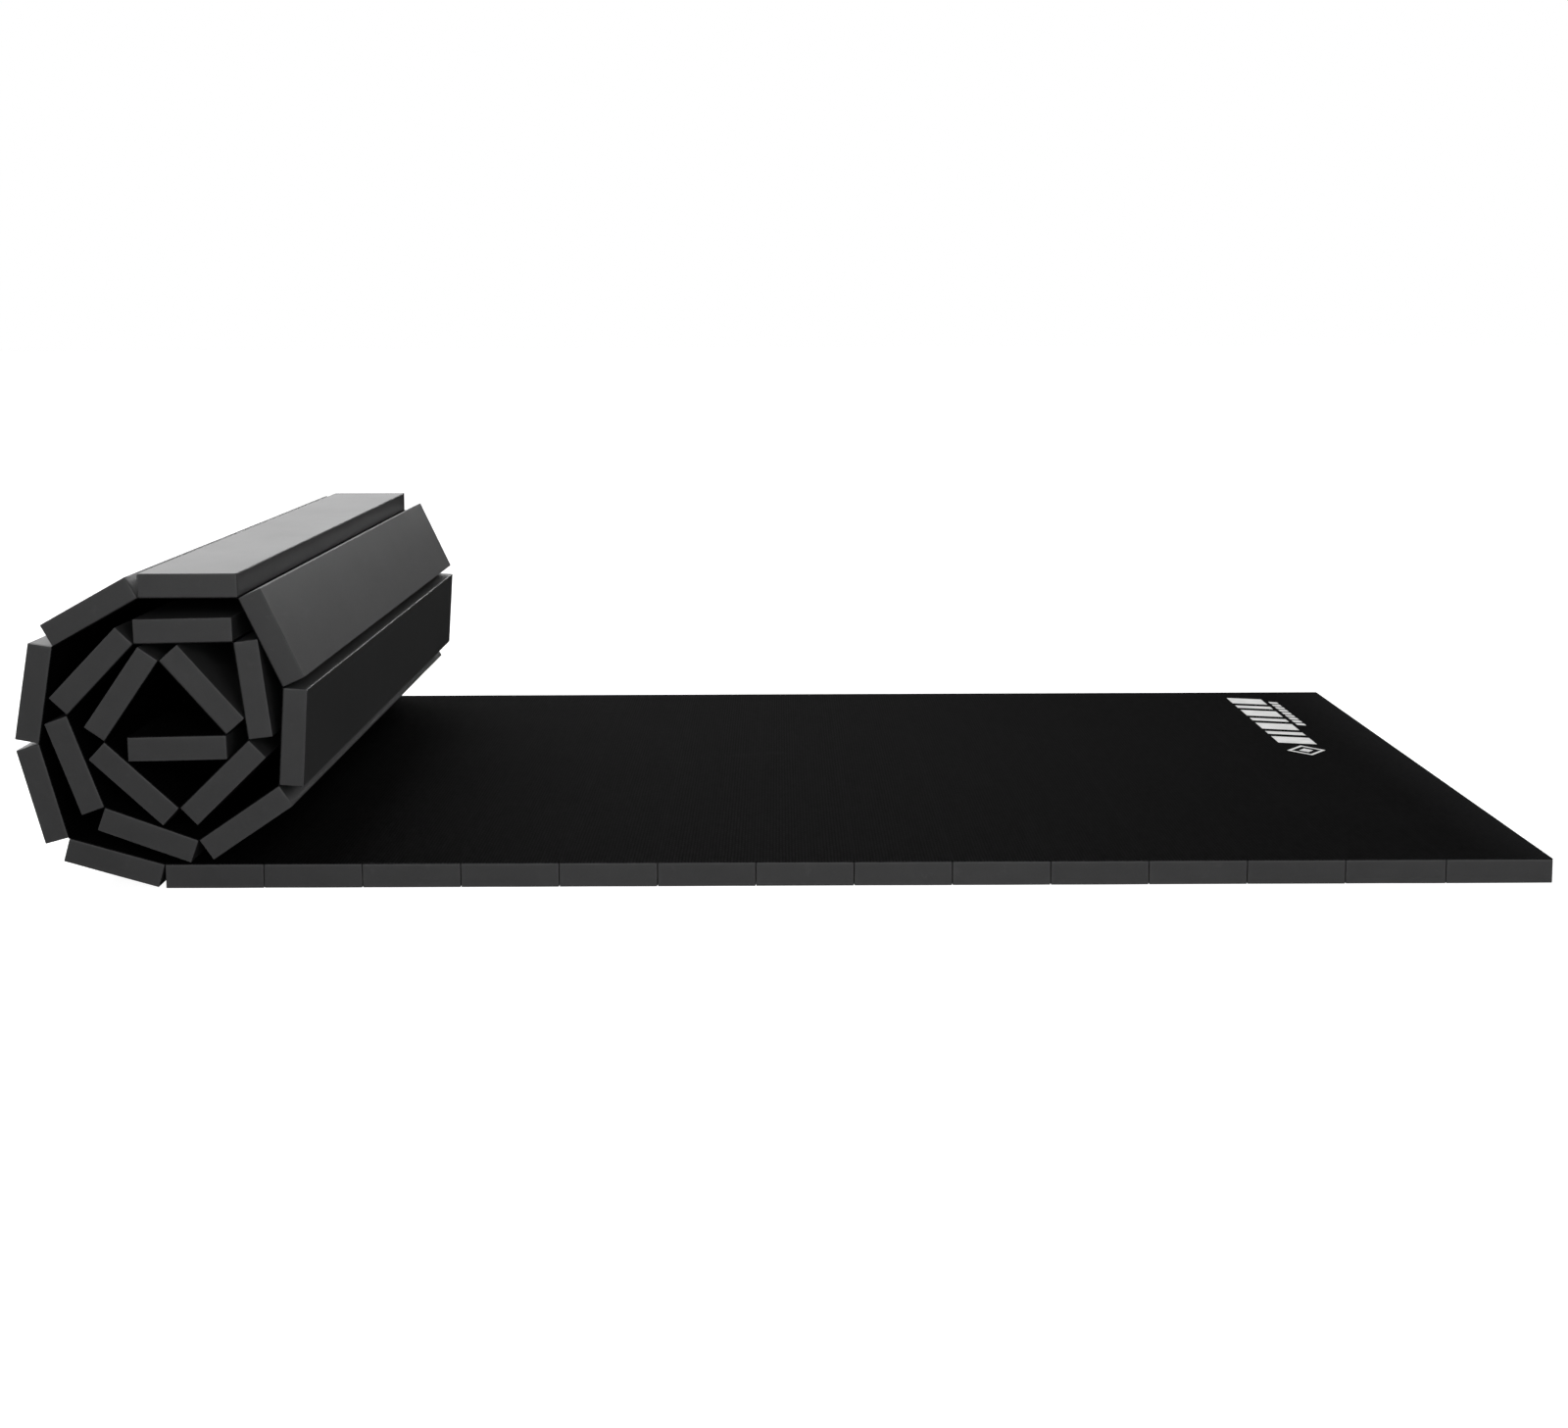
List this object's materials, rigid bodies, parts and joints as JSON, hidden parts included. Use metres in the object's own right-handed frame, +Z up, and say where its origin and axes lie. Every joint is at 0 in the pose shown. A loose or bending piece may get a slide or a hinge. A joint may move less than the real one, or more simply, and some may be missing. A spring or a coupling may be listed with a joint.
{
  "type": "roll-out gym mat",
  "caption": "Roll-out training mat: slit foam planks under a continuous vinyl skin, part rolled up and part lying flat on the floor.",
  "frame": {"origin": "middle of the underside of the five planks that stay on the floor between the roll and the loose end", "axes": "+X along the mat, away from the roll and towards the loose flat end; +Y across the mat, along the planks; +Z up, out of the vinyl face of the flat part"},
  "size_m": [1.9775, 1.524, 0.4078],
  "materials": {
    "foam": "charcoal closed-cell polyethylene foam with a smooth, slightly satin cut face",
    "vinyl": "black vinyl with a fine woven-straw emboss, matte"
  },
  "bodies": {
    "floor_section": {"foam_plank_19": "foam", "foam_plank_20": "foam", "foam_plank_21": "foam", "foam_plank_22": "foam", "foam_plank_23": "foam", "vinyl_floor_section": "vinyl"},
    "plank_18": {"foam_plank_18": "foam", "vinyl_strip_18": "vinyl"},
    "plank_17": {"foam_plank_17": "foam", "vinyl_strip_17": "vinyl"},
    "plank_16": {"foam_plank_16": "foam", "vinyl_strip_16": "vinyl"},
    "plank_15": {"foam_plank_15": "foam", "vinyl_strip_15": "vinyl"},
    "plank_14": {"foam_plank_14": "foam", "vinyl_strip_14": "vinyl"},
    "plank_13": {"foam_plank_13": "foam", "vinyl_strip_13": "vinyl"},
    "plank_12": {"foam_plank_12": "foam", "vinyl_strip_12": "vinyl"},
    "plank_11": {"foam_plank_11": "foam", "vinyl_strip_11": "vinyl"},
    "plank_10": {"foam_plank_10": "foam", "vinyl_strip_10": "vinyl"},
    "plank_09": {"foam_plank_09": "foam", "vinyl_strip_09": "vinyl"},
    "plank_08": {"foam_plank_08": "foam", "vinyl_strip_08": "vinyl"},
    "plank_07": {"foam_plank_07": "foam", "vinyl_strip_07": "vinyl"},
    "plank_06": {"foam_plank_06": "foam", "vinyl_strip_06": "vinyl"},
    "plank_05": {"foam_plank_05": "foam", "vinyl_strip_05": "vinyl"},
    "plank_04": {"foam_plank_04": "foam", "vinyl_strip_04": "vinyl"},
    "plank_03": {"foam_plank_03": "foam", "vinyl_strip_03": "vinyl"},
    "plank_02": {"foam_plank_02": "foam", "vinyl_strip_02": "vinyl"},
    "plank_01": {"foam_plank_01": "foam", "vinyl_strip_01": "vinyl"},
    "plank_24": {"foam_plank_24": "foam", "vinyl_strip_24": "vinyl"},
    "plank_25": {"foam_plank_25": "foam", "vinyl_strip_25": "vinyl"},
    "plank_26": {"foam_plank_26": "foam", "vinyl_strip_26": "vinyl"},
    "plank_27": {"foam_plank_27": "foam", "vinyl_strip_27": "vinyl"},
    "plank_28": {"foam_plank_28": "foam", "vinyl_strip_28": "vinyl"},
    "plank_29": {"foam_plank_29": "foam", "vinyl_strip_29": "vinyl"},
    "plank_30": {"foam_plank_30": "foam", "vinyl_strip_30": "vinyl"},
    "plank_31": {"foam_plank_31": "foam", "vinyl_strip_31": "vinyl"},
    "plank_32": {"foam_plank_32": "foam", "vinyl_strip_32": "vinyl"}
  },
  "joints": [
    {"name": "fold_18_19", "type": "hinge", "parent": "floor_section", "child": "plank_18", "pos_m": [-0.3175, 0, 0.03175], "axis": [0, -1, 0], "range_deg": [0, 16]},
    {"name": "fold_17_18", "type": "hinge", "parent": "plank_18", "child": "plank_17", "pos_m": [-0.43958, 0, 0.06676], "axis": [0, -1, 0], "range_deg": [0, 59]},
    {"name": "fold_16_17", "type": "hinge", "parent": "plank_17", "child": "plank_16", "pos_m": [-0.47245, 0, 0.18943], "axis": [0, -1, 0], "range_deg": [0, 25]},
    {"name": "fold_15_16", "type": "hinge", "parent": "plank_16", "child": "plank_15", "pos_m": [-0.4504, 0, 0.3145], "axis": [0, -1, 0], "range_deg": [0, 51]},
    {"name": "fold_14_15", "type": "hinge", "parent": "plank_15", "child": "plank_14", "pos_m": [-0.33932, 0, 0.37607], "axis": [0, -1, 0], "range_deg": [0, 29]},
    {"name": "fold_13_14", "type": "hinge", "parent": "plank_14", "child": "plank_13", "pos_m": [-0.21232, 0, 0.37607], "axis": [0, -1, 0], "range_deg": [0, 65]},
    {"name": "fold_12_13", "type": "hinge", "parent": "plank_13", "child": "plank_12", "pos_m": [-0.15865, 0, 0.26097], "axis": [0, -1, 0], "range_deg": [0, 29]},
    {"name": "fold_11_12", "type": "hinge", "parent": "plank_12", "child": "plank_11", "pos_m": [-0.16751, 0, 0.13428], "axis": [0, -1, 0], "range_deg": [0, 52]},
    {"name": "fold_10_11", "type": "hinge", "parent": "plank_11", "child": "plank_10", "pos_m": [-0.27279, 0, 0.06326], "axis": [0, -1, 0], "range_deg": [0, 54]},
    {"name": "fold_09_10", "type": "hinge", "parent": "plank_10", "child": "plank_09", "pos_m": [-0.39214, 0, 0.1067], "axis": [0, -1, 0], "range_deg": [0, 50]},
    {"name": "fold_08_09", "type": "hinge", "parent": "plank_09", "child": "plank_08", "pos_m": [-0.43557, 0, 0.22604], "axis": [0, -1, 0], "range_deg": [0, 64]},
    {"name": "fold_07_08", "type": "hinge", "parent": "plank_08", "child": "plank_07", "pos_m": [-0.34735, 0, 0.31739], "axis": [0, -1, 0], "range_deg": [0, 45]},
    {"name": "fold_06_07", "type": "hinge", "parent": "plank_07", "child": "plank_06", "pos_m": [-0.22037, 0, 0.31961], "axis": [0, -1, 0], "range_deg": [0, 84]},
    {"name": "fold_05_06", "type": "hinge", "parent": "plank_06", "child": "plank_05", "pos_m": [-0.20489, 0, 0.19356], "axis": [0, -1, 0], "range_deg": [0, 53]},
    {"name": "fold_04_05", "type": "hinge", "parent": "plank_05", "child": "plank_04", "pos_m": [-0.29625, 0, 0.10534], "axis": [0, -1, 0], "range_deg": [0, 87]},
    {"name": "fold_03_04", "type": "hinge", "parent": "plank_04", "child": "plank_03", "pos_m": [-0.38913, 0, 0.19195], "axis": [0, -1, 0], "range_deg": [0, 82]},
    {"name": "fold_02_03", "type": "hinge", "parent": "plank_03", "child": "plank_02", "pos_m": [-0.31629, 0, 0.29598], "axis": [0, -1, 0], "range_deg": [0, 104]},
    {"name": "fold_01_02", "type": "hinge", "parent": "plank_02", "child": "plank_01", "pos_m": [-0.23297, 0, 0.20013], "axis": [0, -1, 0], "range_deg": [0, 130]},
    {"name": "fold_23_24", "type": "hinge", "parent": "floor_section", "child": "plank_24", "pos_m": [0.3175, 0, 0.03175], "axis": [0, -1, 0], "range_deg": [0, 53]},
    {"name": "fold_24_25", "type": "hinge", "parent": "plank_24", "child": "plank_25", "pos_m": [0.4445, 0, 0.03175], "axis": [0, -1, 0], "range_deg": [0, 58]},
    {"name": "fold_25_26", "type": "hinge", "parent": "plank_25", "child": "plank_26", "pos_m": [0.5715, 0, 0.03175], "axis": [0, -1, 0], "range_deg": [0, 48]},
    {"name": "fold_26_27", "type": "hinge", "parent": "plank_26", "child": "plank_27", "pos_m": [0.6985, 0, 0.03175], "axis": [0, -1, 0], "range_deg": [0, 81]},
    {"name": "fold_27_28", "type": "hinge", "parent": "plank_27", "child": "plank_28", "pos_m": [0.8255, 0, 0.03175], "axis": [0, -1, 0], "range_deg": [0, 45]},
    {"name": "fold_28_29", "type": "hinge", "parent": "plank_28", "child": "plank_29", "pos_m": [0.9525, 0, 0.03175], "axis": [0, -1, 0], "range_deg": [0, 88]},
    {"name": "fold_29_30", "type": "hinge", "parent": "plank_29", "child": "plank_30", "pos_m": [1.0795, 0, 0.03175], "axis": [0, -1, 0], "range_deg": [0, 75]},
    {"name": "fold_30_31", "type": "hinge", "parent": "plank_30", "child": "plank_31", "pos_m": [1.2065, 0, 0.03175], "axis": [0, -1, 0], "range_deg": [0, 101]},
    {"name": "fold_31_32", "type": "hinge", "parent": "plank_31", "child": "plank_32", "pos_m": [1.3365, 0, 0.03175], "axis": [0, -1, 0], "range_deg": [0, 130]}
  ],
  "couplings": [
    {"joint": "fold_17_18", "follows": "fold_18_19", "ratio": 3.6875},
    {"joint": "fold_16_17", "follows": "fold_18_19", "ratio": 1.5625},
    {"joint": "fold_15_16", "follows": "fold_18_19", "ratio": 3.1875},
    {"joint": "fold_14_15", "follows": "fold_18_19", "ratio": 1.8125},
    {"joint": "fold_13_14", "follows": "fold_18_19", "ratio": 4.0625},
    {"joint": "fold_12_13", "follows": "fold_18_19", "ratio": 1.8125},
    {"joint": "fold_11_12", "follows": "fold_18_19", "ratio": 3.25},
    {"joint": "fold_10_11", "follows": "fold_18_19", "ratio": 3.375},
    {"joint": "fold_09_10", "follows": "fold_18_19", "ratio": 3.125},
    {"joint": "fold_08_09", "follows": "fold_18_19", "ratio": 4},
    {"joint": "fold_07_08", "follows": "fold_18_19", "ratio": 2.8125},
    {"joint": "fold_06_07", "follows": "fold_18_19", "ratio": 5.25},
    {"joint": "fold_05_06", "follows": "fold_18_19", "ratio": 3.3125},
    {"joint": "fold_04_05", "follows": "fold_18_19", "ratio": 5.4375},
    {"joint": "fold_03_04", "follows": "fold_18_19", "ratio": 5.125},
    {"joint": "fold_02_03", "follows": "fold_18_19", "ratio": 6.5},
    {"joint": "fold_01_02", "follows": "fold_18_19", "ratio": 8.125},
    {"joint": "fold_24_25", "follows": "fold_23_24", "ratio": 1.0943},
    {"joint": "fold_25_26", "follows": "fold_23_24", "ratio": 0.90566},
    {"joint": "fold_26_27", "follows": "fold_23_24", "ratio": 1.5283},
    {"joint": "fold_27_28", "follows": "fold_23_24", "ratio": 0.84906},
    {"joint": "fold_28_29", "follows": "fold_23_24", "ratio": 1.6604},
    {"joint": "fold_29_30", "follows": "fold_23_24", "ratio": 1.4151},
    {"joint": "fold_30_31", "follows": "fold_23_24", "ratio": 1.9057},
    {"joint": "fold_31_32", "follows": "fold_23_24", "ratio": 2.4528}
  ]
}
